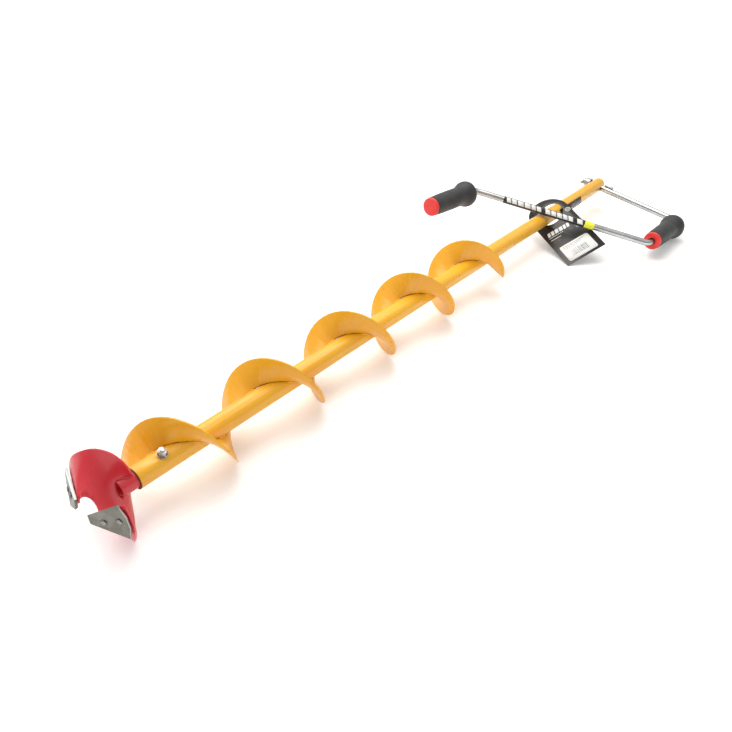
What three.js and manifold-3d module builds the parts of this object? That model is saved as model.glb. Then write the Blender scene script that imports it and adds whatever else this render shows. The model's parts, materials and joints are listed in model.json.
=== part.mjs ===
// A hand ice auger, 115 mm cut, lying on the floor with its crank handle folded over the tube.
// Millimetres. +X runs along the tube from the cutting head to the crank, +Z is up.
// A yellow tube carries one right-handed flight. A red twisted plate with two blades is welded to a
// shank that is bolted inside the tube's lower end. A bent rod with two turning grips is the crank: it
// passes through the tube's upper end and is held there by a wing nut.
import * as THREE from "three";
import { mergeVertices } from "three/addons/utils/BufferGeometryUtils.js";
import Module from "manifold-3d";

const wasm = await Module();
wasm.setup();

// ---------- driving dimensions ----------
const GAP = 0.3; // air left between pieces that touch
const RAD = Math.PI / 180;

const TUBE_RADIUS = 13.5;
const TUBE_WALL = 1.5;
const TUBE_START = 44;
const TUBE_END = 1228;

const FLIGHT_RADIUS = 50;
const FLIGHT_LEAD = 151.3;
const FLIGHT_PHASE = 207.4 * RAD; // angle of the flight where x is 0
const FLIGHT_START = 46;
const FLIGHT_END = 756;
const FLIGHT_SHEET = 2.2;
const FLIGHT_STEPS_PER_TURN = 36;

const SHANK_RADIUS = 10.8;
const SHANK_WALL = 2.5;
const SHANK_START = 24;
const SHANK_END = 104;

const PLATE_SHEET = 2.5;
// The twisted plate's straight lines, from the leading edge to the tail of each wing:
// angle, x where the line meets the tube's axis, x at the far wing's rim, x at the near wing's rim,
// radius of the rim. The wings are bent by hand, so they differ a little where the blades sit.
const PLATE_LINES = [
  [-36, -19.4, -2.6, 2.6, 55.0],
  [-21, -19.4, 0.2, 3.6, 56.5],
  [-3, -19.4, 3.2, 4.4, 57.0],
  [19, -18.2, 4.6, 5.2, 57.0],
  [47, -2.0, 9.8, 9.8, 55.5],
  [66, 12.0, 20.0, 20.0, 52.5],
  [82, 24.0, 30.0, 30.0, 43.5],
  [100, 35.0, 37.0, 37.0, 27.5],
  [118, 40.0, 40.0, 40.0, 12.4],
];
const NOTCH_RADIUS = 14.3;
const NOTCH_FLOOR = -4; // x of the deepest point of the notch between the blades
const NOTCH_DEPTH = 8;

const BLADE_THICKNESS = 3;
// Each blade lies in its own plane: x of the front face on the tube's axis, how far the face falls
// back per mm outwards, and how far it comes forward per mm towards the cutting edge.
const BLADE_SEATS = {
  near: { faceX: -27.6, fallOut: 0.46, lead: -0.03, turn: 0 },
  far: { faceX: -23.6, fallOut: 0.35, lead: 0.136, turn: Math.PI },
};
// Corners seen along the axis, out from the axis and up: cutting edge first, then the outer end.
const BLADE_CORNERS = [
  [14.5, 6.7],
  [48.4, 31.0],
  [55.5, 15.0],
  [57.5, 0.0],
  [55.6, -14.6],
  [15.6, -5.4],
];
const PLATE_BEHIND_EDGE = 4.5; // the plate ends this far behind the cutting edge
const BLADE_SCREWS = [
  [30.5, 1.0],
  [47.5, 7.5],
];
const BLADE_SCREW_RADIUS = 2.5;

const BOLT_X = 80.5;
const BOLT_ANGLE = 108 * RAD;
const BOLT_RADIUS = 3;
const NUT_ACROSS_FLATS = 10;

const PIVOT_X = 1216;
const ROD_RADIUS = 6;
const ROD_BEND = 15; // centre-line radius of the rod's bends
const CRANK_DROOP = 8.9 * RAD; // the near arm points this far below level
const CRANK_FOLD = 4.95 * RAD; // the folded crank rises this much towards the head
const ARM_LENGTH = 188;
const GRIP_REACH = 176.6; // lower grip's side of the crank
const LONG_ARM = 340;
const LONG_ARM_SKEW = 22.2 * RAD;
const END_REACH = 151.9; // upper grip's side of the crank
const ROD_TAIL = 31; // threaded end beyond the tube

const GRIP_LENGTH = 129;
const GRIP_FROM_BEND = 17;

const TAG_WIDTH = 80;
const TAG_REACH = 128; // from the middle of the hole to the square end
// The hole is an oval, long enough for the tube to pass through it at a slant.
const TAG_HOLE = { x: 1.1, y: 2.3, long: 28.4, short: 21.5, turn: 120.3 * RAD };
const TAG_THICKNESS = 0.8;

// ---------- materials ----------
const paint = (color, roughness = 0.35) =>
  new THREE.MeshStandardMaterial({ color, roughness, metalness: 0 });
const metal = (color, roughness) =>
  new THREE.MeshStandardMaterial({ color, roughness, metalness: 1 });
const YELLOW = paint(0xf0a51e);
const RED = paint(0xb51f2b);
const ZINC = metal(0xc9cccb, 0.28);
const BLADE_STEEL = metal(0x85867c, 0.4);
const BLACK_RUBBER = paint(0x252526, 0.75);
const RED_PLASTIC = paint(0xe0302a, 0.4);
const BLACK_FILM = paint(0x151516, 0.4);
const YELLOW_FILM = paint(0xe8e02a, 0.4);
const CARD_BLACK = paint(0x17140f, 0.55);
const CARD_WHITE = paint(0xf2f2f0, 0.6);

// ---------- solids ----------
function toSolid(geometry) {
  const bare = geometry.index ? geometry.toNonIndexed() : geometry.clone();
  bare.deleteAttribute("normal");
  bare.deleteAttribute("uv");
  const merged = mergeVertices(bare, 1e-4);
  return new wasm.Manifold(
    new wasm.Mesh({
      numProp: 3,
      vertProperties: merged.attributes.position.array,
      triVerts: new Uint32Array(merged.index.array),
    }),
  );
}

function toGeometry(solid) {
  const mesh = solid.getMesh();
  const geometry = new THREE.BufferGeometry();
  geometry.setAttribute("position", new THREE.BufferAttribute(mesh.vertProperties, 3));
  geometry.setIndex(new THREE.BufferAttribute(mesh.triVerts, 1));
  geometry.computeVertexNormals();
  return geometry;
}

function cut(geometry, ...tools) {
  return toGeometry(tools.reduce((left, tool) => left.subtract(toSolid(tool)), toSolid(geometry)));
}

function join(...pieces) {
  return toGeometry(pieces.map(toSolid).reduce((sum, piece) => sum.add(piece)));
}

// A cylinder or cone between two points.
function rod(from, to, radiusFrom, radiusTo = radiusFrom, sides = 24) {
  const along = new THREE.Vector3().subVectors(to, from);
  const geometry = new THREE.CylinderGeometry(radiusTo, radiusFrom, along.length(), sides);
  const turn = new THREE.Quaternion().setFromUnitVectors(
    new THREE.Vector3(0, 1, 0),
    along.clone().normalize(),
  );
  geometry.applyQuaternion(turn);
  const middle = from.clone().addScaledVector(along, 0.5);
  return geometry.translate(middle.x, middle.y, middle.z);
}

const at = (x, y, z) => new THREE.Vector3(x, y, z);
const onAxis = (x) => at(x, 0, 0);

// A solid of revolution about the X axis, from [x, radius] points listed in order of rising x.
function turned(profile, segments) {
  const points = profile.map(([x, radius]) => new THREE.Vector2(radius, x));
  return new THREE.LatheGeometry(points, segments).rotateZ(-Math.PI / 2);
}

// A hollow one: outer points in order of rising x, then the bore's in order of falling x.
function turnedRing(outer, bore, segments) {
  return turned([...outer, ...bore, outer[0]], segments);
}

// A closed slab of even thickness about a surface given by a grid of points.
function slab(rows, thickness) {
  const count = rows.length;
  const width = rows[0].length;
  const positions = [];
  const step = (i, j) => rows[Math.min(Math.max(i, 0), count - 1)][Math.min(Math.max(j, 0), width - 1)];
  for (const side of [1, -1]) {
    for (let i = 0; i < count; i++) {
      for (let j = 0; j < width; j++) {
        const down = new THREE.Vector3().subVectors(step(i + 1, j), step(i - 1, j));
        const across = new THREE.Vector3().subVectors(step(i, j + 1), step(i, j - 1));
        const normal = down.cross(across).normalize();
        positions.push(...rows[i][j].clone().addScaledVector(normal, (side * thickness) / 2));
      }
    }
  }
  const top = (i, j) => i * width + j;
  const under = (i, j) => count * width + top(i, j);
  const index = [];
  const quad = (a, b, c, d) => index.push(a, b, c, a, c, d);
  for (let i = 0; i + 1 < count; i++) {
    for (let j = 0; j + 1 < width; j++) {
      quad(top(i, j), top(i + 1, j), top(i + 1, j + 1), top(i, j + 1));
      quad(under(i, j), under(i, j + 1), under(i + 1, j + 1), under(i + 1, j));
    }
    quad(top(i, 0), under(i, 0), under(i + 1, 0), top(i + 1, 0));
    quad(top(i, width - 1), top(i + 1, width - 1), under(i + 1, width - 1), under(i, width - 1));
  }
  for (let j = 0; j + 1 < width; j++) {
    quad(top(0, j), top(0, j + 1), under(0, j + 1), under(0, j));
    quad(top(count - 1, j), under(count - 1, j), under(count - 1, j + 1), top(count - 1, j + 1));
  }
  const geometry = new THREE.BufferGeometry();
  geometry.setAttribute("position", new THREE.Float32BufferAttribute(positions, 3));
  geometry.setIndex(index);
  return geometry;
}

// The centre line of a rod bent along straight lines, with an arc at each inner corner.
function bentPath(corners, bend, stepsPerBend = 7) {
  const path = [corners[0]];
  for (let i = 1; i + 1 < corners.length; i++) {
    const back = new THREE.Vector3().subVectors(corners[i - 1], corners[i]).normalize();
    const on = new THREE.Vector3().subVectors(corners[i + 1], corners[i]).normalize();
    const half = back.angleTo(on) / 2;
    const centre = back.clone().add(on).normalize().multiplyScalar(bend / Math.sin(half));
    const start = back.multiplyScalar(bend / Math.tan(half)).sub(centre);
    const end = on.multiplyScalar(bend / Math.tan(half)).sub(centre);
    const turn = new THREE.Quaternion().setFromUnitVectors(
      start.clone().normalize(),
      end.clone().normalize(),
    );
    for (let k = 0; k <= stepsPerBend; k++) {
      const part = new THREE.Quaternion().slerp(turn, k / stepsPerBend);
      path.push(start.clone().applyQuaternion(part).add(centre).add(corners[i]));
    }
  }
  path.push(corners.at(-1));
  return path;
}

// A round rod along a path that never runs straight up.
function sweep(path, radius, sides) {
  const rings = path.map((point, i) => {
    const before = path[Math.max(i - 1, 0)];
    const after = path[Math.min(i + 1, path.length - 1)];
    const along = new THREE.Vector3().subVectors(after, before).normalize();
    const side = new THREE.Vector3().crossVectors(along, at(0, 0, 1)).normalize();
    const up = new THREE.Vector3().crossVectors(side, along);
    return Array.from({ length: sides }, (_, k) => {
      const angle = (2 * Math.PI * k) / sides;
      return point
        .clone()
        .addScaledVector(side, radius * Math.cos(angle))
        .addScaledVector(up, radius * Math.sin(angle));
    });
  });
  const positions = rings.flat().flatMap((p) => [p.x, p.y, p.z]);
  const index = [];
  const vertex = (i, k) => i * sides + (k % sides);
  for (let i = 0; i + 1 < rings.length; i++) {
    for (let k = 0; k < sides; k++) {
      index.push(vertex(i, k), vertex(i + 1, k), vertex(i + 1, k + 1));
      index.push(vertex(i, k), vertex(i + 1, k + 1), vertex(i, k + 1));
    }
  }
  const last = rings.length - 1;
  for (let k = 1; k + 1 < sides; k++) {
    index.push(vertex(0, 0), vertex(0, k), vertex(0, k + 1));
    index.push(vertex(last, 0), vertex(last, k + 1), vertex(last, k));
  }
  const geometry = new THREE.BufferGeometry();
  geometry.setAttribute("position", new THREE.Float32BufferAttribute(positions, 3));
  geometry.setIndex(index);
  return geometry;
}

// ---------- scene graph ----------
const part = new THREE.Group();
const auger = new THREE.Group(); // the tube's axis is this group's X axis
const crank = new THREE.Group(); // X along the grips, Y along the near arm, origin on the pivot
const tag = new THREE.Group(); // X from the hole's middle to the square end, Z out of the printed side
part.add(auger);
auger.add(crank, tag);

function place(group, name, geometry, material) {
  const mesh = new THREE.Mesh(geometry, material);
  mesh.name = name;
  group.add(mesh);
  return mesh;
}

// ---------- tube, flight and shank ----------
const across = (angle, radius, x) => at(x, radius * Math.cos(angle), radius * Math.sin(angle));
const boltHole = rod(
  across(BOLT_ANGLE, -40, BOLT_X),
  across(BOLT_ANGLE, 40, BOLT_X),
  BOLT_RADIUS + GAP,
);
const armWay = at(0, -Math.cos(CRANK_DROOP), -Math.sin(CRANK_DROOP)); // along the near arm
const pivot = onAxis(PIVOT_X);
const onArm = (distance) => pivot.clone().addScaledVector(armWay, distance);
const KEY_SLOT = { length: 13, width: 5 };

function tube() {
  const shell = turnedRing(
    [[TUBE_START, TUBE_RADIUS], [TUBE_END, TUBE_RADIUS]],
    [[TUBE_END, TUBE_RADIUS - TUBE_WALL], [TUBE_START, TUBE_RADIUS - TUBE_WALL]],
    48,
  );
  const armHole = rod(onArm(-30), onArm(30), ROD_RADIUS + GAP);
  const slot = new THREE.BoxGeometry(KEY_SLOT.length, 20, KEY_SLOT.width)
    .translate(-KEY_SLOT.length / 2, -TUBE_RADIUS, 0)
    .rotateX(CRANK_DROOP)
    .translate(PIVOT_X, 0, 0);
  return cut(shell, boltHole, armHole, slot);
}

function flight() {
  const turns = (FLIGHT_END - FLIGHT_START) / FLIGHT_LEAD;
  const steps = Math.round(turns * FLIGHT_STEPS_PER_TURN);
  const rows = Array.from({ length: steps + 1 }, (_, i) => {
    const x = FLIGHT_START + ((FLIGHT_END - FLIGHT_START) * i) / steps;
    const angle = FLIGHT_PHASE + (2 * Math.PI * x) / FLIGHT_LEAD;
    return [TUBE_RADIUS + GAP, FLIGHT_RADIUS].map((radius) => across(angle, radius, x));
  });
  const clearNut = rod(across(BOLT_ANGLE, 0, BOLT_X), across(BOLT_ANGLE, 26, BOLT_X), 6.8);
  return cut(slab(rows, FLIGHT_SHEET), clearNut);
}

function shank() {
  const pipe = turnedRing(
    [[SHANK_START, SHANK_RADIUS], [SHANK_END, SHANK_RADIUS]],
    [[SHANK_END, SHANK_RADIUS - SHANK_WALL], [SHANK_START, SHANK_RADIUS - SHANK_WALL]],
    36,
  );
  return cut(pipe, boltHole);
}

// ---------- twisted plate ----------
// One sheet runs through the axis: each of its straight lines reaches both rims, half a turn apart.
const plateLine = new THREE.CubicInterpolant(
  PLATE_LINES.map(([angle]) => angle),
  PLATE_LINES.flatMap(([, ...values]) => values),
  4,
);

function twistedPlate() {
  const first = PLATE_LINES[0][0];
  const last = PLATE_LINES.at(-1)[0];
  const stepsAlong = 30;
  const stepsOut = 6;
  const rows = Array.from({ length: stepsAlong + 1 }, (_, i) => {
    const angle = first + ((last - first) * i) / stepsAlong;
    const [axisX, farX, nearX, rim] = plateLine.evaluate(angle);
    return Array.from({ length: 2 * stepsOut + 1 }, (_, j) => {
      const out = (j - stepsOut) / stepsOut;
      const rimX = out > 0 ? farX : nearX;
      return across(angle * RAD, out * rim, axisX + (rimX - axisX) * Math.abs(out));
    });
  });
  const notch = [[-60, 0], [-60, NOTCH_RADIUS]];
  const notchSteps = 10;
  for (let k = 0; k <= notchSteps; k++) {
    const angle = (Math.PI / 2) * (k / notchSteps);
    const x = NOTCH_FLOOR - NOTCH_DEPTH + NOTCH_DEPTH * Math.sin(angle);
    notch.push([x, k === notchSteps ? 0 : NOTCH_RADIUS * Math.cos(angle)]);
  }
  const room = SHANK_RADIUS + GAP;
  const shankRoom = [[SHANK_START - 2 * GAP, 0], [SHANK_START - 2 * GAP, room], [60, room], [60, 0]];
  const blades = Object.values(BLADE_SEATS);
  const screwHoles = blades.flatMap((seat) =>
    BLADE_SCREWS.map(([out, up]) =>
      onScrew(seat, out, up, 10, -16, BLADE_SCREW_RADIUS + GAP).rotateX(seat.turn),
    ),
  );
  const leadingCuts = blades.map((seat) => aheadOfPlate().rotateX(seat.turn));
  const roundCuts = [turned(notch, 24), turned(shankRoom, 36)];
  return cut(slab(rows, PLATE_SHEET), ...roundCuts, ...leadingCuts, ...screwHoles);
}

// The space in front of a blade's cutting edge, where its wing has no plate.
function aheadOfPlate() {
  const [[outStart, upStart], [outEnd, upEnd]] = BLADE_CORNERS;
  const slope = Math.atan2(upEnd - upStart, outEnd - outStart);
  const size = { x: 56, along: 82, ahead: 40 };
  return new THREE.BoxGeometry(size.x, size.along, size.ahead)
    .translate(-16, -size.along / 2 + 6, size.ahead / 2 - PLATE_BEHIND_EDGE)
    .rotateX(-slope)
    .translate(0, -outStart, upStart);
}

// ---------- blades ----------
// A blade's pieces are made as on the near side, with out along -Y, and then turned to their own side.
const bladePoint = (seat, out, up) => at(seat.faceX + seat.fallOut * out - seat.lead * up, -out, up);
const faceNormal = (seat) => at(-1, -seat.fallOut, -seat.lead).normalize();

function onScrew(seat, out, up, from, to, radius, radiusTo = radius, sides = 24) {
  const face = bladePoint(seat, out, up);
  const normal = faceNormal(seat);
  const on = (distance) => face.clone().addScaledVector(normal, distance);
  return rod(on(from), on(to), radius, radiusTo, sides);
}

function blade(seat) {
  const bevel = 2.2; // the cutting edge's slope runs back this far under the blade
  const normal = faceNormal(seat);
  const front = BLADE_CORNERS.map(([out, up]) => bladePoint(seat, out, up));
  const back = BLADE_CORNERS.map(([out, up], i) => {
    const lead = i < 2 ? bevel : 0;
    return bladePoint(seat, out, up - lead).addScaledVector(normal, -BLADE_THICKNESS);
  });
  const count = front.length;
  const positions = [...front, ...back].flatMap((p) => [p.x, p.y, p.z]);
  const index = [];
  for (let k = 1; k + 1 < count; k++) {
    index.push(0, k + 1, k);
    index.push(count, count + k, count + k + 1);
  }
  for (let k = 0; k < count; k++) {
    const next = (k + 1) % count;
    index.push(k, next, count + next, k, count + next, count + k);
  }
  const geometry = new THREE.BufferGeometry();
  geometry.setAttribute("position", new THREE.Float32BufferAttribute(positions, 3));
  geometry.setIndex(index);
  const holes = BLADE_SCREWS.map(([out, up]) => onScrew(seat, out, up, 5, -8, BLADE_SCREW_RADIUS + GAP));
  return cut(geometry, ...holes);
}

function bladeScrew(seat, out, up) {
  const head = onScrew(seat, out, up, GAP, 1.2, 3.8, 3.0);
  return join(head, onScrew(seat, out, up, 0.8, -13.5, BLADE_SCREW_RADIUS, undefined, 16));
}

function bladeNut(seat, out, up) {
  const start = -(BLADE_THICKNESS + PLATE_SHEET + 4.4);
  const body = onScrew(seat, out, up, start, start - 3.2, 4.6, undefined, 6);
  return cut(body, onScrew(seat, out, up, start + 2, start - 6, BLADE_SCREW_RADIUS + GAP, undefined, 16));
}

// ---------- bolt through tube and shank ----------
const onBolt = (distance) => across(BOLT_ANGLE, distance, BOLT_X);
const hexRadius = NUT_ACROSS_FLATS / Math.sqrt(3);
const washerTop = TUBE_RADIUS + GAP + 1.2;

function headBolt() {
  const hex = rod(onBolt(-(TUBE_RADIUS + GAP)), onBolt(-(TUBE_RADIUS + 4.3)), hexRadius, undefined, 6);
  return join(hex, rod(onBolt(-(TUBE_RADIUS + 2)), onBolt(TUBE_RADIUS + 10.4), BOLT_RADIUS, undefined, 20));
}

function headWasher() {
  const disc = rod(onBolt(TUBE_RADIUS + GAP), onBolt(washerTop), 6.2);
  return cut(disc, boltHole);
}

function headNut() {
  const base = washerTop + GAP;
  const body = join(
    rod(onBolt(base), onBolt(base + 5.4), hexRadius, undefined, 6),
    rod(onBolt(base + 5), onBolt(base + 7.2), 4.8, 4.2),
  );
  return cut(body, rod(onBolt(0), onBolt(40), BOLT_RADIUS + GAP, undefined, 20));
}

// ---------- crank ----------
const armEnd = at(0, ARM_LENGTH, 0);
const gripEnd = at(GRIP_REACH, ARM_LENGTH, 0);
const skewPoint = at(
  GRIP_REACH + LONG_ARM * Math.sin(LONG_ARM_SKEW),
  ARM_LENGTH - LONG_ARM * Math.cos(LONG_ARM_SKEW),
  0,
);
const rodEnd = skewPoint.clone().add(at(END_REACH, 0, 0));
const longArmWay = new THREE.Vector3().subVectors(skewPoint, gripEnd).normalize();
const onLongArm = (distance) => gripEnd.clone().addScaledVector(longArmWay, distance);

const crankRod = () =>
  sweep(
    bentPath([at(0, -ROD_TAIL, 0), armEnd, gripEnd, skewPoint, rodEnd.clone().add(at(-9, 0, 0))], ROD_BEND),
    ROD_RADIUS,
    16,
  );

function collar(along, from, to, radius, bore = ROD_RADIUS + GAP, sides = 24) {
  return cut(rod(along(from), along(to), radius, radius, sides), rod(along(from - 5), along(to + 5), bore));
}

const filmSleeve = (from, to) => collar(onLongArm, from, to, ROD_RADIUS + 0.6, ROD_RADIUS + 0.2, 20);
const onPivotLine = (distance) => at(0, distance, 0);
const crankWasher = () => collar(onPivotLine, -(TUBE_RADIUS + GAP + 1.6), -(TUBE_RADIUS + GAP), 10);

function crankKey() {
  const height = ROD_RADIUS + GAP + 2.4;
  return rod(at(0, TUBE_RADIUS + 5, height), at(0, TUBE_RADIUS + 23, height), 2.4, 2.4, 12);
}

function wingNut() {
  const near = -(TUBE_RADIUS + 2 * GAP + 1.6);
  const wing = new THREE.Shape();
  wing.moveTo(4, 0);
  wing.lineTo(9, 1);
  wing.quadraticCurveTo(12, 4, 17, 8);
  wing.quadraticCurveTo(20, 12, 17, 15);
  wing.quadraticCurveTo(13, 16.5, 10.5, 12);
  wing.lineTo(7.5, 8);
  wing.lineTo(4, 8);
  wing.closePath();
  const sheet = { depth: 2.6, bevelEnabled: false, curveSegments: 5 };
  const plate = () => new THREE.ExtrudeGeometry(wing, sheet).translate(0, 0, -sheet.depth / 2);
  const pair = [plate(), plate().rotateY(Math.PI)].map((g) => g.rotateX(Math.PI).translate(0, near, 0));
  const hub = rod(at(0, near, 0), at(0, near - 9, 0), 9.6, 8);
  const bore = rod(at(0, near + 5, 0), at(0, near - 15, 0), ROD_RADIUS + GAP, undefined, 20);
  return cut(join(hub, ...pair), bore);
}

// ---------- grips ----------
const gripOuter = [
  [5.3, 16.3],
  [8, 16.7],
  [32, 17.5],
  [62, 17.9],
  [88, 17.7],
  [97, 18.1],
  [103, 19.7],
  [108, 21.9],
  [113, 23.5],
  [118, 23.8],
  [123, 22.8],
  [127, 19.8],
  [GRIP_LENGTH, 16.2],
];
const gripBore = ROD_RADIUS + GAP;

function gripSleeve() {
  return turnedRing(
    gripOuter,
    [[GRIP_LENGTH, gripBore], [17, gripBore], [17, 10.5], [5.3, 10.5]],
    32,
  );
}

function gripRing() {
  return turnedRing([[0, 15.2], [1, 16.2], [5, 16.2]], [[5, gripBore], [0, gripBore]], 32);
}

function gripBush() {
  return turnedRing([[5.6, 10.2], [16.7, 10.2]], [[16.7, gripBore], [5.6, gripBore]], 24);
}

function gripCap() {
  return turned([[0, 0], [0, 14.6], [1.4, 16.2], [5, 16.2], [5, 10], [7.6, 10], [7.6, 0]], 32);
}

function gripRetainer() {
  return turnedRing([[11, 9.6], [13, 9.6]], [[13, gripBore], [11, gripBore]], 20);
}

// Lower grip: its ring end faces the long arm. Upper grip: its cap covers the rod's end.
const lowerGripAt = gripEnd.clone().add(at(-GRIP_FROM_BEND, 0, 0));
const placeGrip = (geometry, where, turned180) =>
  (turned180 ? geometry.rotateZ(Math.PI) : geometry).translate(where.x, where.y, where.z);

// ---------- labels and tag ----------
function tubeLabel() {
  const inner = TUBE_RADIUS + GAP;
  const shape = new THREE.Shape();
  const from = 138 * RAD;
  const to = 236 * RAD;
  shape.absarc(0, 0, inner + 0.4, from, to, false);
  shape.absarc(0, 0, inner, to, from, true);
  shape.closePath();
  return new THREE.ExtrudeGeometry(shape, { depth: 92, bevelEnabled: false, curveSegments: 12 })
    .rotateX(Math.PI / 2)
    .rotateZ(Math.PI / 2)
    .translate(1022, 0, 0);
}

function tagCard() {
  const half = TAG_WIDTH / 2;
  const shape = new THREE.Shape();
  shape.moveTo(TAG_REACH, -half);
  shape.lineTo(TAG_REACH, half);
  shape.lineTo(0, half);
  shape.absarc(0, 0, half, Math.PI / 2, (3 * Math.PI) / 2, false);
  shape.closePath();
  const hole = new THREE.Path();
  hole.absellipse(TAG_HOLE.x, TAG_HOLE.y, TAG_HOLE.long, TAG_HOLE.short, 0, 2 * Math.PI, true, TAG_HOLE.turn);
  shape.holes.push(hole);
  return new THREE.ExtrudeGeometry(shape, {
    depth: TAG_THICKNESS,
    bevelEnabled: false,
    curveSegments: 20,
  });
}

function tagSticker() {
  const size = { x: 40, y: 60, corner: 4 };
  const [x, y, r] = [size.x / 2, size.y / 2, size.corner];
  const shape = new THREE.Shape();
  shape.absarc(x - r, y - r, r, 0, Math.PI / 2, false);
  shape.absarc(-x + r, y - r, r, Math.PI / 2, Math.PI, false);
  shape.absarc(-x + r, -y + r, r, Math.PI, 1.5 * Math.PI, false);
  shape.absarc(x - r, -y + r, r, 1.5 * Math.PI, 2 * Math.PI, false);
  shape.closePath();
  return new THREE.ExtrudeGeometry(shape, { depth: 0.4, bevelEnabled: false, curveSegments: 5 })
    .translate(103, -1, TAG_THICKNESS + GAP);
}

// ---------- assembly ----------
place(auger, "tube", tube(), YELLOW);
place(auger, "flight", flight(), YELLOW);
place(auger, "shank", shank(), RED);
place(auger, "cutter_plate", twistedPlate(), RED);
let screwNumber = 0;
for (const [side, seat] of Object.entries(BLADE_SEATS)) {
  place(auger, `blade_${side}`, blade(seat), BLADE_STEEL).rotation.x = seat.turn;
  for (const [out, up] of BLADE_SCREWS) {
    screwNumber += 1;
    place(auger, `blade_screw_${screwNumber}`, bladeScrew(seat, out, up), ZINC).rotation.x = seat.turn;
    place(auger, `blade_nut_${screwNumber}`, bladeNut(seat, out, up), ZINC).rotation.x = seat.turn;
  }
}
place(auger, "head_bolt", headBolt(), ZINC);
place(auger, "head_washer", headWasher(), ZINC);
place(auger, "head_nut", headNut(), ZINC);
place(
  auger,
  "tube_plug",
  rod(onAxis(TUBE_END - 5.5), onAxis(TUBE_END), TUBE_RADIUS - TUBE_WALL - GAP, undefined, 32),
  YELLOW,
);
place(auger, "tube_label", tubeLabel(), BLACK_FILM);

crank.position.copy(pivot);
crank.rotation.set(CRANK_DROOP, -CRANK_FOLD, Math.PI, "XZY");
place(crank, "crank_rod", crankRod(), ZINC);
place(crank, "crank_washer", crankWasher(), ZINC);
place(crank, "crank_key", crankKey(), ZINC);
place(crank, "wing_nut", wingNut(), ZINC);
place(crank, "lower_grip", placeGrip(gripSleeve(), lowerGripAt, true), BLACK_RUBBER);
place(crank, "lower_grip_ring", placeGrip(gripRing(), lowerGripAt, true), RED_PLASTIC);
place(crank, "lower_grip_bush", placeGrip(gripBush(), lowerGripAt, true), BLACK_RUBBER);
place(crank, "upper_grip", placeGrip(gripSleeve(), rodEnd, true), BLACK_RUBBER);
place(crank, "upper_grip_cap", placeGrip(gripCap(), rodEnd, true), RED_PLASTIC);
place(crank, "grip_retainer", placeGrip(gripRetainer(), rodEnd, true), ZINC);
place(crank, "arm_label", filmSleeve(123, 281), BLACK_FILM);
place(crank, "arm_label_end", filmSleeve(105, 122.7), YELLOW_FILM);

// The tag hangs on the tube by its hole and leans under the long arm, one corner near the floor.
tag.position.set(1008, 2.1, -1.1);
tag.rotation.set(27.5 * RAD, 13.8 * RAD, -116.6 * RAD, "ZYX");
place(tag, "hang_tag", tagCard(), CARD_BLACK);
place(tag, "tag_sticker", tagSticker(), CARD_WHITE);

// The origin is under the middle of the object, on the floor it lies on.
const bounds = new THREE.Box3().setFromObject(part, true);
const middle = bounds.getCenter(new THREE.Vector3());
auger.position.set(-middle.x, -middle.y, -bounds.min.z);

export default part;
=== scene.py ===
"""A hand ice auger, lying on a pale floor with its crank folded. Metres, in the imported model's frame."""

import json
import math
import random

import bmesh
import bpy
import numpy as np
from mathutils import Euler, Matrix, Vector

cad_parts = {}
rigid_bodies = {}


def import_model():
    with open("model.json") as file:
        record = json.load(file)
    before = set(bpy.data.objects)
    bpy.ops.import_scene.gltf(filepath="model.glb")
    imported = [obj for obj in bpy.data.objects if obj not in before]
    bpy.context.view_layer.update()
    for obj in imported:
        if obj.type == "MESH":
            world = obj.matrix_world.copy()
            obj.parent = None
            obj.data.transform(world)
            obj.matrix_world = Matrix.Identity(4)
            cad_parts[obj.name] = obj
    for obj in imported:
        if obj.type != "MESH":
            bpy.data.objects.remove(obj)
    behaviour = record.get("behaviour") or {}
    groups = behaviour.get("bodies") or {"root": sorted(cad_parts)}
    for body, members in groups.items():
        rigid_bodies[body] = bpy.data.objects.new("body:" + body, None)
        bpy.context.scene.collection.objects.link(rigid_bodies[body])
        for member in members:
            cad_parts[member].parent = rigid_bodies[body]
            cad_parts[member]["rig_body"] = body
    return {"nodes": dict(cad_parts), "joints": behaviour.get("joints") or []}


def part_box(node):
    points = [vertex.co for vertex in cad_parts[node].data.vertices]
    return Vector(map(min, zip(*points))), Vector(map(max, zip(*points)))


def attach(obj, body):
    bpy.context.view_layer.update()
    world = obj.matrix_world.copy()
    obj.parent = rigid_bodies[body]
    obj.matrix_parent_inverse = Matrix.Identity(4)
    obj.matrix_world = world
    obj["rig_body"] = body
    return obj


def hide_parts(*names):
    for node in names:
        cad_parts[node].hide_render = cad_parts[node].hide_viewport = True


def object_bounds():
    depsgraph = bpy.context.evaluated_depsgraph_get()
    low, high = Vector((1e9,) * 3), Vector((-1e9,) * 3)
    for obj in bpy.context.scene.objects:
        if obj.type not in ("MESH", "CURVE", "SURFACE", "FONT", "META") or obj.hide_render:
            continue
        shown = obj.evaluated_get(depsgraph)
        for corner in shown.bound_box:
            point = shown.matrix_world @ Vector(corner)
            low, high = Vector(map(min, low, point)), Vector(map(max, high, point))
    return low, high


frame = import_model()
cad_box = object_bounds()
joints = {joint["name"]: joint for joint in frame["joints"]}

MM = 0.001
FLIGHT_LEAD = 151.3 * MM
FLIGHT_PHASE = math.radians(207.4)  # angle of the flight where x is 0, from +Y towards +Z
FLIGHT_START = 46 * MM
FLIGHT_END = 756 * MM
FLIGHT_RADIUS = 50 * MM
FLIGHT_SHEET = 2.2 * MM
TUBE_START = 44 * MM  # the auger's x starts where the blades' line crosses its axis, before the tube
SHARP_ANGLE = math.radians(38)  # edges sharper than this are rounded or shaded as corners
WELD_DISTANCE = 2e-6  # CAD vertices closer than this are one
INK = 0.05 * MM  # thickness of a print
INK_GAP = 0.02 * MM  # between a print and the card under it

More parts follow.
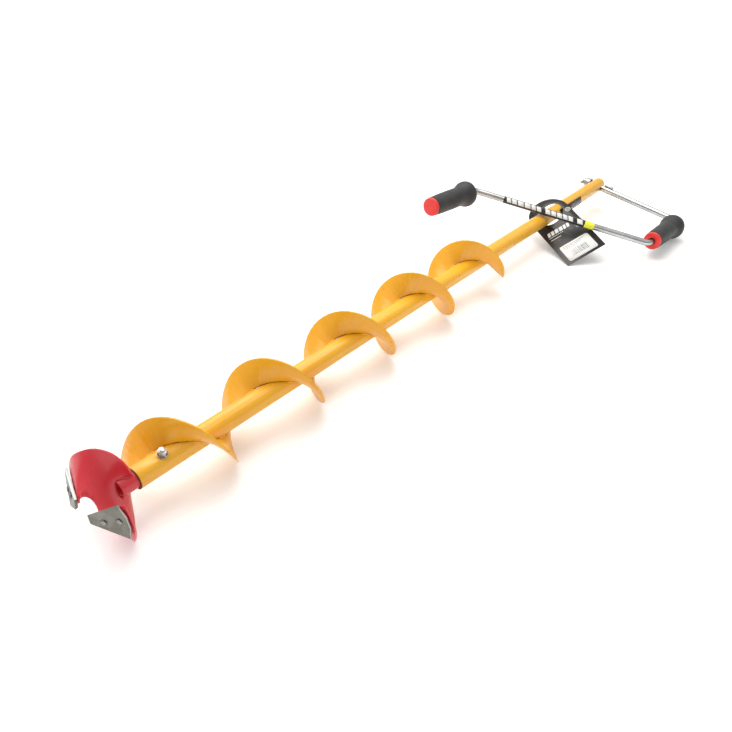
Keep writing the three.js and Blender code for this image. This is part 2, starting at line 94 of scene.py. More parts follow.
BOLT_X = 80.5 * MM
BOLT_ANGLE = math.radians(108)
BOLT_TOP = 23.7 * MM  # distance of the bolt's end from the tube's axis
BOLT_THREAD_LENGTH = 1.2 * MM
BOLT_THREAD_RADIUS = 2.95 * MM
BOLT_PITCH = 1.0 * MM
CRANK_THREAD = (25, 30.6)  # start and end, as distances from the tube's axis in mm
CRANK_THREAD_RADIUS = 5.9 * MM
CRANK_PITCH = 1.5 * MM
THREAD_RIDGE = 0.24 * MM

TACK_LENGTH = 13 * MM
TACK_STARTS = ((-1, 4 * MM), (1, 22 * MM))  # side of the sheet, its first tack's distance from the start
TACKS_PER_TURN = 3
TACK_SIZE = 1.3 * MM
PLATE_WELD_SIZE = 1.5 * MM
PLATE_WELD_LINE = ((84, 27.4), (92, 31.6), (100, 35.9), (108, 38.6), (116, 40.0))  # degrees, x in mm
PLATE_WELD_OFFSET = math.radians(7)  # from the plate's middle to its faces, around the shank

CAMERA_PLACE = Vector((-220.94, -537.66, 542.24)) * MM
CAMERA_YAW, CAMERA_DIP, CAMERA_ROLL = 0.6822, 0.6161, 0.0189
CAMERA_LENS = 34.22
FLOOR_REACH = 15


# ---------- places taken from the frame ----------
def points_of(node):
    """A CAD node's vertices as an array."""
    return np.array([v.co for v in frame["nodes"][node].data.vertices], float)


tube_low, tube_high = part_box("tube")
tube_radius = (tube_high.y - tube_low.y) / 2
axis_point = Vector(
    (
        tube_low.x - TUBE_START,
        (tube_low.y + tube_high.y) / 2,
        (tube_low.z + tube_high.z) / 2,
    )
)


def on_auger(x, radius=0.0, angle=0.0):
    """A point by its x along the tube's axis, distance from the axis and angle from +Y towards +Z."""
    return axis_point + Vector((x, radius * math.cos(angle), radius * math.sin(angle)))


pivot = Vector(joints["crank_fold"]["pos_m"])
grips_way = Vector(joints["lower_grip_spin"]["axis"]).normalized()  # from the near arm towards the head
near_arm_way = -Vector(joints["crank_fold"]["axis"]).normalized()  # from the tube to the lower grip
crank_up = grips_way.cross(near_arm_way).normalized()

TAG_THICKNESS = 0.8 * MM
TAG_PLACE = Vector((1008, 2.1, -1.1)) * MM
TAG_TURN = Euler([math.radians(a) for a in (27.5, 13.8, -116.6)], "XYZ")
tag_to_row = Matrix.Translation(axis_point + TAG_PLACE) @ TAG_TURN.to_matrix().to_4x4()


def long_axis(node):
    """The two ends of the line through the middle of a long round node."""
    points = points_of(node)
    middle = (points.min(0) + points.max(0)) / 2
    along = np.linalg.svd(points - points.mean(0), full_matrices=False)[2][0]
    reach = (points - middle) @ along
    return Vector(middle + along * reach.min()), Vector(middle + along * reach.max())


# ---------- node helpers ----------
def new_material(name, roughness, metallic=0.0):
    material = bpy.data.materials.new(name)
    material.use_nodes = True
    shader = material.node_tree.nodes["Principled BSDF"]
    shader.inputs["Roughness"].default_value = roughness
    shader.inputs["Metallic"].default_value = metallic
    return material, material.node_tree, shader


def node(tree, kind, **values):
    made = tree.nodes.new(kind)
    for name, value in values.items():
        if name in made.inputs:
            made.inputs[name].default_value = value
        else:
            setattr(made, name, value)
    return made


def position(tree, stretch=(1, 1, 1)):
    """Object coordinates, which ride with the piece, stretched along the row's axes."""
    coordinates = node(tree, "ShaderNodeTexCoord")
    mapping = node(tree, "ShaderNodeMapping", Scale=stretch)
    tree.links.new(coordinates.outputs["Object"], mapping.inputs["Vector"])
    return mapping.outputs["Vector"]


def noise(tree, scale, detail=3.0, roughness=0.5, stretch=(1, 1, 1)):
    made = node(tree, "ShaderNodeTexNoise", Scale=scale, Detail=detail, Roughness=roughness)
    tree.links.new(position(tree, stretch), made.inputs["Vector"])
    return made.outputs["Fac"]


def ramp(tree, factor, *stops):
    """A colour ramp from (place, value or colour) pairs."""
    made = node(tree, "ShaderNodeValToRGB")
    elements = made.color_ramp.elements
    while len(elements) < len(stops):
        elements.new(0.5)
    for element, (place, value) in zip(elements, stops):
        element.position = place
        element.color = (*value, 1) if hasattr(value, "__len__") else (value, value, value, 1)
    tree.links.new(factor, made.inputs["Fac"])
    return made.outputs["Color"]


def mix(tree, factor, first, second):
    """Two colours mixed by a factor socket. Each is a socket or an RGB triple."""
    made = node(tree, "ShaderNodeMix", data_type="RGBA")
    tree.links.new(factor, made.inputs["Factor"])
    for name, value in (("A", first), ("B", second)):
        socket = [s for s in made.inputs if s.name == name and s.type == "RGBA"][0]
        if hasattr(value, "is_output"):
            tree.links.new(value, socket)
        else:
            socket.default_value = (*value, 1)
    return [s for s in made.outputs if s.type == "RGBA"][0]


def bump(tree, shader, height, strength, distance):
    made = node(tree, "ShaderNodeBump", Strength=strength, Distance=distance)
    tree.links.new(height, made.inputs["Height"])
    tree.links.new(made.outputs["Normal"], shader.inputs["Normal"])


def math_node(tree, operation, first, second=0.0):
    made = node(tree, "ShaderNodeMath", operation=operation)
    for socket, value in zip(made.inputs, (first, second)):
        if hasattr(value, "is_output"):
            tree.links.new(value, socket)
        else:
            socket.default_value = value
    return made.outputs["Value"]


def off_axis(tree):
    """Distance from the tube's axis."""
    parts = node(tree, "ShaderNodeSeparateXYZ")
    tree.links.new(position(tree), parts.inputs["Vector"])
    across = math_node(tree, "SUBTRACT", parts.outputs["Y"], axis_point.y)
    above = math_node(tree, "SUBTRACT", parts.outputs["Z"], axis_point.z)
    across_squared = math_node(tree, "POWER", across, 2.0)
    above_squared = math_node(tree, "POWER", above, 2.0)
    return math_node(tree, "SQRT", math_node(tree, "ADD", across_squared, above_squared))


def spread(tree, value, low, high):
    """The value's place between low and high, kept from 0 to 1."""
    made = node(tree, "ShaderNodeMapRange")
    made.inputs["From Min"].default_value = low
    made.inputs["From Max"].default_value = high
    tree.links.new(value, made.inputs["Value"])
    return made.outputs["Result"]


# ---------- materials ----------
def powder_coat(name, light, deep, roughness=0.3, coat=0.25, root=None, mouth=None):
    """Baked powder paint: cloudiness, orange peel and dust marks.

    root is the distance from the tube's axis where a welded sheet starts, mouth the x of a tube's open end.
    Both get painted shade, a dark band standing in for shadow: in the gap at the tube's open end and in the
    corner at the sheet's root. The sheet's rim is rubbed.
    """
    material, tree, shader = new_material(name, roughness)
    shader.inputs["Coat Weight"].default_value = coat
    shader.inputs["Coat Roughness"].default_value = 0.12
    colour = mix(tree, ramp(tree, noise(tree, 9, 4), (0.35, 0), (0.68, 1)), light, deep)
    speckle = ramp(tree, noise(tree, 420, 2), (0.7, 0), (0.78, 1))
    colour = mix(tree, math_node(tree, "MULTIPLY", speckle, 0.18), colour, [c * 0.55 for c in deep])
    if mouth is not None:
        # Painted shade: the paint at the tube's open end is darkened almost to black, standing in for the
        # shadow in the gap around the shank.
        parts = node(tree, "ShaderNodeSeparateXYZ")
        tree.links.new(position(tree), parts.inputs["Vector"])
        mouth_shade = spread(tree, parts.outputs["X"], mouth + 1.3 * MM, mouth + 0.5 * MM)
        colour = mix(tree, mouth_shade, colour, [c * 0.09 for c in deep])
    if root is not None:
        # Painted shade: a patchy dark band along the sheet's root stands in for the shadow in the corner
        # between tube and sheet.
        near_root = spread(tree, off_axis(tree), root + 2.4 * MM, root + 0.8 * MM)
        patchy = ramp(tree, noise(tree, 55, 2, stretch=(1, 0.6, 0.6)), (0.36, 0.25), (0.55, 1))
        painted_root_shade = math_node(tree, "MULTIPLY", near_root, patchy)
        colour = mix(tree, painted_root_shade, colour, [c * 0.13 for c in deep])
        at_rim = spread(tree, off_axis(tree), FLIGHT_RADIUS - 0.9 * MM, FLIGHT_RADIUS + 0.1 * MM)
        rubbed = ramp(tree, noise(tree, 140, 3), (0.5, 0), (0.7, 0.55))
        worn = math_node(tree, "MULTIPLY", at_rim, rubbed)
        colour = mix(tree, worn, colour, [c * 0.6 for c in deep])
    tree.links.new(colour, shader.inputs["Base Color"])
    rough = ramp(tree, noise(tree, 26, 3), (0.3, roughness * 0.8), (0.7, roughness * 1.3))
    tree.links.new(rough, shader.inputs["Roughness"])
    bump(tree, shader, noise(tree, 620, 1), 0.16, 0.15 * MM)
    return material


def zinc_plate(name, light, deep):
    """Zinc plating: drawn streaks and cloudy patches, duller where it is seen at a low angle."""
    material, tree, shader = new_material(name, 0.25, 1.0)
    cloud = ramp(tree, noise(tree, 45, 4), (0.3, 0), (0.7, 1))
    colour = mix(tree, cloud, deep, light)
    shader.inputs["Specular Tint"].default_value = (0.12, 0.12, 0.125, 1)
    tree.links.new(colour, shader.inputs["Base Color"])
    tree.links.new(ramp(tree, noise(tree, 130, 3), (0.3, 0.17), (0.7, 0.36)), shader.inputs["Roughness"])
    bump(tree, shader, noise(tree, 900, 2, stretch=(0.15, 1, 1)), 0.12, 0.1 * MM)
    return material


def blade_steel():
    """Hardened sheet steel: grey-green, ground across, with darker heat and oil stains."""
    material, tree, shader = new_material("blade_steel", 0.38, 0.85)
    stain = ramp(tree, noise(tree, 42, 5, 0.6), (0.44, 0), (0.7, 1))
    colour = mix(tree, stain, (0.205, 0.20, 0.172), (0.105, 0.105, 0.086))
    tree.links.new(colour, shader.inputs["Base Color"])
    tree.links.new(ramp(tree, noise(tree, 160, 3), (0.3, 0.28), (0.7, 0.5)), shader.inputs["Roughness"])
    bump(tree, shader, noise(tree, 700, 2, stretch=(1, 0.12, 1)), 0.2, 0.1 * MM)
    return material


def ground_edge():
    """The freshly ground bevel of a blade."""
    material, tree, shader = new_material("ground_edge", 0.3, 1.0)
    colour = mix(tree, noise(tree, 300, 3), (0.31, 0.31, 0.30), (0.42, 0.42, 0.41))
    tree.links.new(colour, shader.inputs["Base Color"])
    bump(tree, shader, noise(tree, 1500, 1, stretch=(1, 0.1, 1)), 0.15, 0.05 * MM)
    return material


def grip_rubber():
    """Moulded rubber: charcoal, matte, finely grained."""
    material, tree, shader = new_material("grip_rubber", 0.6)
    cloud = ramp(tree, noise(tree, 38, 4), (0.3, 0), (0.7, 1))
    colour = mix(tree, cloud, (0.022, 0.022, 0.023), (0.036, 0.036, 0.037))
    dust = ramp(tree, noise(tree, 520, 2), (0.66, 0), (0.76, 0.35))
    tree.links.new(mix(tree, dust, colour, (0.085, 0.083, 0.08)), shader.inputs["Base Color"])
    tree.links.new(ramp(tree, noise(tree, 60, 2), (0.3, 0.5), (0.7, 0.68)), shader.inputs["Roughness"])
    bump(tree, shader, noise(tree, 1400, 2), 0.35, 0.12 * MM)
    return material


def moulded_plastic(name, light, deep, roughness, grain=0.08):
    """Moulded plastic or film: slight cloudiness and a fine grain."""
    material, tree, shader = new_material(name, roughness)
    cloud = ramp(tree, noise(tree, 60, 3), (0.3, 0), (0.7, 1))
    tree.links.new(mix(tree, cloud, light, deep), shader.inputs["Base Color"])
    rough = ramp(tree, noise(tree, 90, 2), (0.3, roughness * 0.85), (0.7, roughness * 1.2))
    tree.links.new(rough, shader.inputs["Roughness"])
    bump(tree, shader, noise(tree, 1100, 1), grain, 0.1 * MM)
    return material


def card(name, light, deep, roughness):
    """Printed card: fibrous, with a faint ripple."""
    material, tree, shader = new_material(name, roughness)
    fibre = ramp(tree, noise(tree, 260, 4, 0.7), (0.35, 0), (0.65, 1))
    tree.links.new(mix(tree, fibre, light, deep), shader.inputs["Base Color"])
    bump(tree, shader, noise(tree, 35, 2), 0.25, 0.5 * MM)
    return material


# The tube's paint carries painted shade at its open end.
YELLOW = powder_coat("yellow_powder_coat", (0.90, 0.465, 0.024), (0.84, 0.415, 0.018), mouth=tube_low.x)
# The flight's paint carries painted shade along its root.
FLIGHT_YELLOW = powder_coat(
    "flight_powder_coat", (0.89, 0.432, 0.013), (0.81, 0.370, 0.009), root=tube_radius
)
RED = powder_coat("red_powder_coat", (0.68, 0.032, 0.046), (0.60, 0.024, 0.036), roughness=0.28)
ZINC = zinc_plate("zinc_plate", (0.57, 0.58, 0.575), (0.42, 0.432, 0.435))
SCREW_ZINC = zinc_plate("screw_zinc", (0.36, 0.36, 0.34), (0.22, 0.22, 0.20))
BLADE = blade_steel()
EDGE = ground_edge()
RUBBER = grip_rubber()
RED_PLASTIC = moulded_plastic("red_plastic", (0.83, 0.045, 0.035), (0.76, 0.030, 0.025), 0.38)
BLACK_FILM = moulded_plastic("black_film", (0.012, 0.012, 0.013), (0.018, 0.017, 0.018), 0.3)
YELLOW_FILM = moulded_plastic("yellow_film", (0.86, 0.83, 0.05), (0.80, 0.77, 0.04), 0.35)
WHITE_INK = moulded_plastic("white_ink", (0.86, 0.86, 0.85), (0.78, 0.78, 0.77), 0.4)
DARK_INK = moulded_plastic("dark_ink", (0.02, 0.02, 0.02), (0.035, 0.035, 0.035), 0.5)
GREY_INK = moulded_plastic("grey_ink", (0.11, 0.11, 0.11), (0.15, 0.15, 0.15), 0.45)
CARD_BLACK = card("card_black", (0.011, 0.009, 0.007), (0.017, 0.014, 0.012), 0.42)
CARD_WHITE = card("card_white", (0.87, 0.87, 0.86), (0.82, 0.82, 0.80), 0.5)


# ---------- mesh helpers ----------
def show(name, mesh, material, body):
    """Puts a mesh in the scene as a piece that rides on a body."""
    piece = bpy.data.objects.new(name, mesh)
    bpy.context.scene.collection.objects.link(piece)
    mesh.materials.append(material)
    for polygon in mesh.polygons:
        polygon.use_smooth = True
    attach(piece, body)
    return piece


def soften(piece, width):
    """Rounds the piece's sharp edges."""
    edges = piece.modifiers.new("rounded_edges", "BEVEL")
    edges.width = width
    edges.segments = 2
    edges.limit_method = "ANGLE"
    edges.angle_limit = SHARP_ANGLE
    edges.harden_normals = True
    edges.use_clamp_overlap = True


def skin(cad_node, material, edge):
    """A CAD node's own surface, welded, smooth-shaded and with rounded edges, shown in its place."""
    work = bmesh.new()
    work.from_mesh(frame["nodes"][cad_node].data)
    bmesh.ops.remove_doubles(work, verts=work.verts, dist=WELD_DISTANCE)
    if edge:
        bmesh.ops.dissolve_limit(work, angle_limit=math.radians(0.6), verts=work.verts, edges=work.edges)
    mesh = bpy.data.meshes.new(cad_node + "_skin")
    work.to_mesh(mesh)
    work.free()
    body = frame["nodes"][cad_node]["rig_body"]
    piece = show(cad_node + "_skin", mesh, material, body)
    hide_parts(cad_node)
    if edge:
        soften(piece, edge)
    else:
        mesh.set_sharp_from_angle(angle=SHARP_ANGLE)
    return piece


def grind_edges(piece):
    """The ground finish on a blade's cutting edge, outer end and back, but not on its inner end."""
    flat = 0.8  # cosine of the lean up to which a polygon belongs to the blade's faces
    inner_end = 20 * MM  # distance from the tube's axis
    mesh = piece.data
    mesh.materials.append(EDGE)
    face = max(mesh.polygons, key=lambda polygon: polygon.area).normal.copy()
    for polygon in mesh.polygons:
        from_axis = math.hypot(polygon.center.y - axis_point.y, polygon.center.z - axis_point.z)
        if abs(polygon.normal.dot(face)) < flat and from_axis > inner_end:
            polygon.material_index = 1


def mesh_from(name, vertices, faces):
    mesh = bpy.data.meshes.new(name)
    mesh.from_pydata([tuple(v) for v in vertices], [], faces)
    mesh.update()
    return mesh


def join_parts(parts):
    """One vertex list and face list from several."""
    vertices, faces = [], []
    for part_vertices, part_faces in parts:
        start = len(vertices)
        vertices += part_vertices
        faces += [[start + i for i in face] for face in part_faces]
    return vertices, faces


def rope(path, radii, sides=8):
    """A closed tube along a path, with a radius for each of its points."""
    vertices, faces = [], []
    for i, point in enumerate(path):
        along = (path[min(i + 1, len(path) - 1)] - path[max(i - 1, 0)]).normalized()
        side = along.orthogonal() if i == 0 else side - along * side.dot(along)
        side.normalize()
        other = along.cross(side)
        for k in range(sides):
            angle = 2 * math.pi * k / sides
            vertices.append(point + (side * math.cos(angle) + other * math.sin(angle)) * radii[i])
    for i in range(len(path) - 1):
        for k in range(sides):
            a, b = i * sides + k, i * sides + (k + 1) % sides
            faces.append([a, b, b + sides, a + sides])
    faces.append(list(range(sides))[::-1])
    last = (len(path) - 1) * sides
    faces.append([last + k for k in range(sides)])
    return vertices, faces


# ---------- carried-over shapes ----------
def carried_over():
    """Shows every CAD shape with its own material and rounded edges, from a table of material, slot and
    width of its rounded edges.
    """
    finishes = {
        "tube": (YELLOW, "yellow_paint", 0.2 * MM),
        "tube_plug": (YELLOW, "yellow_paint", 0.4 * MM),
        "flight": (FLIGHT_YELLOW, "yellow_paint", 0.35 * MM),
        "shank": (RED, "red_paint", 0.3 * MM),
        "cutter_plate": (RED, "red_paint", 0),
        "blade_near": (BLADE, "blade_steel", 0.12 * MM),
        "blade_far": (BLADE, "blade_steel", 0.12 * MM),
        "tube_label": (BLACK_FILM, "black_film", 0),
        "lower_grip": (RUBBER, "black_rubber", 0.5 * MM),
        "lower_grip_ring": (RED_PLASTIC, "red_plastic", 0.3 * MM),
        "lower_grip_bush": (RUBBER, "black_rubber", 0.2 * MM),
        "upper_grip": (RUBBER, "black_rubber", 0.5 * MM),
        "upper_grip_cap": (RED_PLASTIC, "red_plastic", 0.3 * MM),
        "arm_label": (BLACK_FILM, "black_film", 0),
        "arm_label_end": (YELLOW_FILM, "yellow_film", 0),
        "hang_tag": (CARD_BLACK, "card_black", 0),
        "tag_sticker": (CARD_WHITE, "card_white", 0),
    }
    for name in frame["nodes"]:
        plating = SCREW_ZINC if name.startswith("blade_") else ZINC
        material, slot, edge = finishes.get(name, (plating, "zinc", 0.25 * MM))
        piece = skin(name, material, edge)
        if material is BLADE:
            grind_edges(piece)


# ---------- welds ----------
def flight_root(x, side):
    """A point in the corner between tube and flight. side is 1 where the sheet's normal points, or -1."""
    angle = FLIGHT_PHASE + 2 * math.pi * x / FLIGHT_LEAD
    outward = Vector((0, math.cos(angle), math.sin(angle)))
    pitch = 2 * math.pi * tube_radius / FLIGHT_LEAD
    along = Vector((1, -pitch * math.sin(angle), pitch * math.cos(angle))).normalized()
    normal = along.cross(outward)
    off_tube, off_sheet = 0.5 * MM, 0.4 * MM
    return on_auger(x, tube_radius + off_tube, angle) + normal * side * (FLIGHT_SHEET / 2 + off_sheet)


def weld(path, size, seed):
    """A rippled weld bead, thin at both ends."""
    chance = random.Random(seed)
    count = len(path) - 1
    radii = []
    for i in range(count + 1):
        taper = min(1.0, 0.35 + 4 * min(i, count - i) / count)
        ripple = 1 + 0.16 * math.sin(2.6 * i) + chance.uniform(-0.08, 0.08)
        radii.append(size * taper * ripple)
    return rope(path, radii)


def flight_welds():
    """Tack welds in the corner between tube and flight, on both sides of the sheet."""
    steps = 16
    spacing = FLIGHT_LEAD / TACKS_PER_TURN
    beads = []
    for side, from_end in TACK_STARTS:
        start = FLIGHT_START + from_end
        count = int((FLIGHT_END - start - TACK_LENGTH) / spacing) + 1
        for i in range(count):
            x = start + i * spacing
            path = [flight_root(x + TACK_LENGTH * k / steps, side) for k in range(steps + 1)]
            beads.append(weld(path, TACK_SIZE, seed=10 * i + side))
    mesh = mesh_from("flight_welds", *join_parts(beads))
    show("flight_welds", mesh, YELLOW, "auger")


def plate_welds():
    """Beads where the cutting plate meets the shank's outer wall, on both faces of both wings."""
    low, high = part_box("shank")
    radius = (high.y - low.y) / 2 + 0.6 * MM  # of the bead's middle
    steps = 4
    beads = []
    for wing in (0, math.pi):
        for face in (-1, 1):
            path = []
            for (a0, x0), (a1, x1) in zip(PLATE_WELD_LINE, PLATE_WELD_LINE[1:]):
                for k in range(steps):
                    share = k / steps
                    angle = math.radians(a0 + (a1 - a0) * share) + wing + face * PLATE_WELD_OFFSET
                    path.append(on_auger((x0 + (x1 - x0) * share) * MM, radius, angle))
            beads.append(weld(path, PLATE_WELD_SIZE, seed=7 + face))
    mesh = mesh_from("plate_welds", *join_parts(beads))
    show("plate_welds", mesh, RED, "auger")


# ---------- threads ----------
def thread(name, start, end, radius, pitch, body):
    """A helical ridge on a round shank."""
    along = (end - start).normalized()
    side = along.orthogonal().normalized()
    other = along.cross(side)
    per_turn = 16
    count = int((end - start).length / pitch * per_turn)
    path = []
    for i in range(count + 1):
        angle = 2 * math.pi * i / per_turn
        around = side * math.cos(angle) + other * math.sin(angle)
        path.append(start + along * (pitch * i / per_turn) + around * radius)
    mesh = mesh_from(name, *rope(path, [THREAD_RIDGE] * len(path), sides=6))
    show(name, mesh, ZINC, body)


def threads():
    """The bolt's end past its nut, and the crank's end past the wing nut."""
    thread(
        "bolt_thread",
        on_auger(BOLT_X, BOLT_TOP - BOLT_THREAD_LENGTH, BOLT_ANGLE),
        on_auger(BOLT_X, BOLT_TOP, BOLT_ANGLE),
        BOLT_THREAD_RADIUS,
        BOLT_PITCH,
        "auger",
    )
    start, end = CRANK_THREAD
    thread(
        "crank_thread",
        pivot - near_arm_way * start * MM,
        pivot - near_arm_way * end * MM,
        CRANK_THREAD_RADIUS,
        CRANK_PITCH,
        "crank",
    )


# ---------- prints ----------
def flat_prints(name, patches, lift, material):
    """Printed shapes at a height above the tag's back.

    Each patch is a list of (down the tag, across it) corners in millimetres.
    """
    parts = []
    for corners in patches:
        count = len(corners)
        ring = [Vector((down * MM, across * MM, lift)) for down, across in corners]
        both = [tag_to_row @ p for p in ring] + [tag_to_row @ (p + Vector((0, 0, INK))) for p in ring]
        faces = [list(range(count))[::-1], [count + k for k in range(count)]]
        faces += [[k, (k + 1) % count, count + (k + 1) % count, count + k] for k in range(count)]
        parts.append((both, faces))
    piece = show(name, mesh_from(name, *join_parts(parts)), material, "tag")
    for polygon in piece.data.polygons:
        polygon.use_smooth = False
    return piece


def bar(down, across, deep, wide, slant=0.0):
    """A bar's corners, from its top left corner, its size and how far its foot leans left."""
    return [
        (down, across),
        (down + deep, across - slant),
        (down + deep, across + wide - slant),
        (down, across + wide),
    ]


def ring_bars(down, across, radius, thickness, count=28):
    """A circle drawn as short bars, in millimetres on the tag."""
    shapes = []
    for k in range(count):
        a, b = 2 * math.pi * k / count, 2 * math.pi * (k + 0.96) / count
        inner, outer = radius - thickness / 2, radius + thickness / 2
        shapes.append(
            [
                (down + r * math.sin(t), across + r * math.cos(t))
                for r, t in ((inner, a), (outer, a), (outer, b), (inner, b))
            ]
        )
    return shapes


def tag_prints():
    """Slanted blocks, thin rules, small dashes, plain rings and a dark square stand for the prints."""
    top = TAG_THICKNESS + INK_GAP
    heading = []
    across = -32.0
    for wide in (5.4, 6.0, 7.2, 7.2, 5.2, 5.4):
        heading.append(bar(39.5, across + 2.4, 9.5, wide, slant=2.4))
        across += wide + 1.9
    rules = [bar(52.0, -33, 1.0, 30), bar(58.5, -33, 1.0, 22)]
    dashes = [
        bar(down, left, 0.7, wide)
        for down, left, wide in (
            (52.5, 6, 9),
            (55, 8, 11),
            (57.5, 8, 8),
            (62, -31, 17),
            (64.5, -31, 13),
            (67, -31, 15),
        )
    ]
    flat_prints("tag_heading", heading + rules, top, WHITE_INK)
    emblem = ring_bars(11, 33.6, 4.6, 0.9) + ring_bars(11, 33.6, 2.0, 0.7, 16)
    flat_prints("tag_emblem", emblem, top, WHITE_INK)
    flat_prints("tag_small_print", dashes + [bar(51.5, 22, 10, 10)], top, GREY_INK)


def top_of_sticker():
    """Height of the sticker's face above the tag's back, with the gap that its prints keep."""
    inverse = tag_to_row.inverted()
    return max((inverse @ Vector(p)).z for p in points_of("tag_sticker")) + INK_GAP


def sticker_prints():
    """Upright bars of mixed widths with no code in them, and dashes above them."""
    top = top_of_sticker()
    chance = random.Random(4)
    bars = []
    across = -19.0
    while across < 17:
        wide = chance.choice((0.5, 0.8, 1.1))
        bars.append(bar(100.5, across, 15.0, wide))
        across += wide + chance.choice((0.9, 1.3, 1.8))
    flat_prints("sticker_bars", bars, top, DARK_INK)
    lines = []
    for down, left, right in ((87.0, -25, 22), (90.2, -25, 12), (93.4, -25, 3)):
        across = left
        while across < right:
            wide = chance.uniform(2.2, 5.2)
            lines.append(bar(down, across, 0.8, min(wide, right - across)))
            across += wide + 1.0
    flat_prints("sticker_lines", lines, top, DARK_INK)


def wrapped_prints(name, start, along, facing, radius, shapes, body):
    """Printed shapes on a round bar.

    Each shape is (from, to, slant) along the bar in mm and (low, high) around it in radians.
    """
    along = along.normalized()
    up = (facing - along * facing.dot(along)).normalized()
    across = along.cross(up)
    steps = 6
    parts = []
    for low_s, high_s, slant, low_a, high_a in shapes:
        vertices = []
        for lift in (0, INK):
            for k in range(steps + 1):
                share = k / steps
                angle = low_a + (high_a - low_a) * share
                out = up * math.cos(angle) + across * math.sin(angle)
                for s in (low_s, high_s):
                    vertices.append(start + along * ((s + slant * share) * MM) + out * (radius + lift))
        layer = 2 * (steps + 1)
        faces = []
        for k in range(steps):
            a = 2 * k
            faces.append([a, a + 1, a + 3, a + 2])
            faces.append([layer + a, layer + a + 2, layer + a + 3, layer + a + 1])
            faces.append([a, a + 2, layer + a + 2, layer + a])
            faces.append([a + 1, layer + a + 1, layer + a + 3, a + 3])
        faces.append([0, layer, layer + 1, 1])
        faces.append([2 * steps, 2 * steps + 1, layer + 2 * steps + 1, layer + 2 * steps])
        parts.append((vertices, faces))
    show(name, mesh_from(name, *join_parts(parts)), WHITE_INK, body)


def arm_prints():
    """Slanted white blocks along the black sleeve."""
    start, end = long_axis("arm_label")
    if start.y < end.y:
        start, end = end, start
    length = (end - start).length / MM
    widths = (9, 10, 12, 12, 9, 9, 0, 10, 10, 10, 9, 9, 0, 11)  # 0 is an empty place
    empty_width = 5
    gap = 1.7
    margin = 4.0
    slant = 3.2
    half_height = 0.7  # radians
    scale = (length - 2 * margin - gap * len(widths)) / (sum(widths) + widths.count(0) * empty_width)
    shapes = []
    s = margin
    for wide in widths:
        if wide:
            shapes.append((s, s + wide * scale, slant, -half_height, half_height))
        s += (wide or empty_width) * scale + gap
    radius = 6.62 * MM  # just above the sleeve
    facing = crank_up * 0.55 + grips_way * 0.8
    wrapped_prints("arm_prints", start, end - start, facing, radius, shapes, "crank")


def tube_prints():
    """Plain dashes in two rows on the tube's label."""
    low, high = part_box("tube_label")
    margin = 8
    gap = 2.0
    height = 0.13  # radians
    room = (high.x - low.x) / MM - 2 * margin
    shapes = []
    for angle, count in ((0.30, 6), (-0.05, 9)):
        for i in range(count):
            s = margin + room * i / count
            shapes.append((s, s + room / count - gap, 0.0, angle, angle + height))
    start = Vector((low.x, axis_point.y, axis_point.z))
    facing = Vector((0, -0.99, -0.12))
    radius = tube_radius + 0.72 * MM  # just above the label
    wrapped_prints("tube_prints", start, Vector((1, 0, 0)), facing, radius, shapes, "auger")


# ---------- surroundings ----------
def floor():
    """A wide pale floor, faintly bright by itself so that it reads as white paper."""
    corners = [(x * FLOOR_REACH, y * FLOOR_REACH, 0) for x, y in ((-1, -1), (1, -1), (1, 1), (-1, 1))]
    mesh = mesh_from("floor", corners, [[0, 1, 2, 3]])
    plane = bpy.data.objects.new("floor", mesh)
    bpy.context.scene.collection.objects.link(plane)
    plane.location.z = cad_box[0].z
    material, tree, shader = new_material("floor_paper", 0.9)
    grain = ramp(tree, noise(tree, 180, 2), (0.3, 0.84), (0.7, 0.87))
    tree.links.new(grain, shader.inputs["Base Color"])
    shader.inputs["Specular IOR Level"].default_value = 0.1
    shader.inputs["Emission Color"].default_value = (1.0, 0.995, 0.98, 1)
    shader.inputs["Emission Strength"].default_value = 0.19
    mesh.materials.append(material)


def sky():
    """A soft studio: bright above and behind, dimmer near the horizon and towards the camera's side."""
    world = bpy.data.worlds.new("studio")
    bpy.context.scene.world = world
    world.use_nodes = True
    tree = world.node_tree
    background = tree.nodes["Background"]
    coordinates = node(tree, "ShaderNodeTexCoord")
    parts = node(tree, "ShaderNodeSeparateXYZ")
    tree.links.new(coordinates.outputs["Generated"], parts.inputs["Vector"])
    height = ramp(tree, parts.outputs["Z"], (0.0, 0.30), (0.12, 0.42), (0.35, 0.62), (0.8, 0.95))
    away = math_node(
        tree,
        "ADD",
        math_node(tree, "MULTIPLY", parts.outputs["Y"], 0.26),
        math_node(tree, "MULTIPLY", parts.outputs["X"], 0.10),
    )
    level = math_node(tree, "MULTIPLY", height, math_node(tree, "ADD", away, 0.95))
    tree.links.new(level, background.inputs["Strength"])
    background.inputs["Color"].default_value = (1.0, 0.995, 0.985, 1)


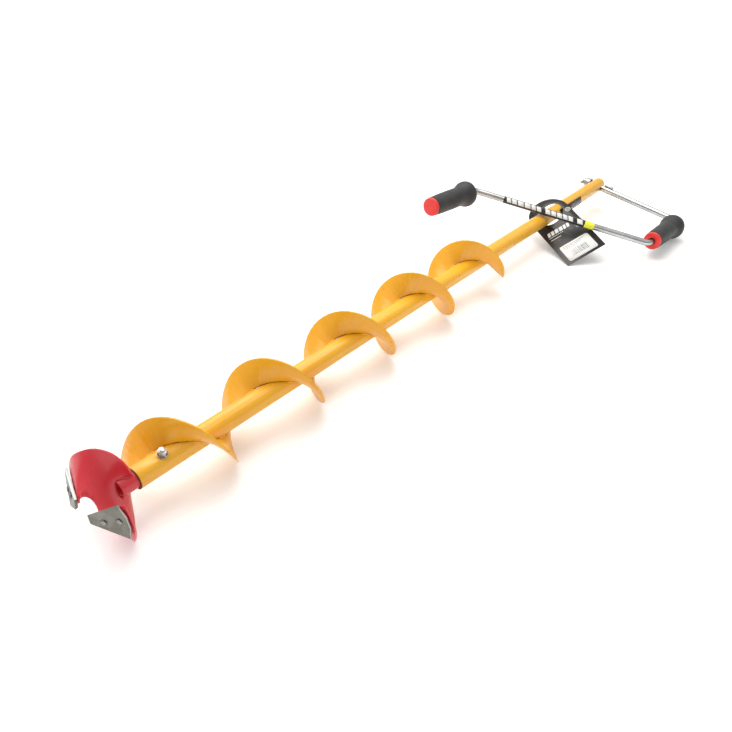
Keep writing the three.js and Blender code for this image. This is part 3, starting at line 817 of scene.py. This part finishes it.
def key_light():
    """A broad soft light from above and behind the far side of the tube."""
    lamp = bpy.data.lights.new("key", "SUN")
    lamp.energy = 1.4
    lamp.angle = math.radians(62)
    lamp.color = (1.0, 0.985, 0.955)
    key = bpy.data.objects.new("key", lamp)
    bpy.context.scene.collection.objects.link(key)
    from_way = Vector((-0.15, 0.75, 1.5))
    key.rotation_mode = "QUATERNION"
    key.rotation_quaternion = from_way.to_track_quat("Z", "Y")


def far_lamp():
    """A square soft box above the crank's end, so the light fades towards the cutting head."""
    lamp = bpy.data.lights.new("far_box", "AREA")
    lamp.shape = "SQUARE"
    lamp.size = 1.1
    lamp.energy = 9
    lamp.color = (1.0, 0.99, 0.965)
    box = bpy.data.objects.new("far_box", lamp)
    bpy.context.scene.collection.objects.link(box)
    box.location = axis_point + Vector((0.95, 0.35, 1.25))
    target = axis_point + Vector((0.7, 0, 0))
    box.rotation_mode = "QUATERNION"
    box.rotation_quaternion = (box.location - target).to_track_quat("Z", "Y")


def camera():
    """Looks down along the auger from beyond its cutting head."""
    place = axis_point + CAMERA_PLACE
    yaw, dip, roll = CAMERA_YAW, CAMERA_DIP, CAMERA_ROLL
    ahead = Vector((math.cos(yaw) * math.cos(dip), math.sin(yaw) * math.cos(dip), -math.sin(dip)))
    right = Vector((math.sin(yaw), -math.cos(yaw), 0))
    up = right.cross(ahead)
    rolled_right = right * math.cos(roll) + up * math.sin(roll)
    rolled_up = up * math.cos(roll) - right * math.sin(roll)
    data = bpy.data.cameras.new("camera")
    data.sensor_width = 36
    data.lens = CAMERA_LENS
    seer = bpy.data.objects.new("camera", data)
    bpy.context.scene.collection.objects.link(seer)
    turn = Matrix((rolled_right, rolled_up, -ahead)).transposed()
    seer.matrix_world = Matrix.Translation(place) @ turn.to_4x4()
    bpy.context.scene.camera = seer


camera()
floor()
sky()
key_light()
far_lamp()
carried_over()
flight_welds()
plate_welds()
threads()
tag_prints()
sticker_prints()
arm_prints()
tube_prints()
bpy.context.scene.view_settings.view_transform = "Standard"
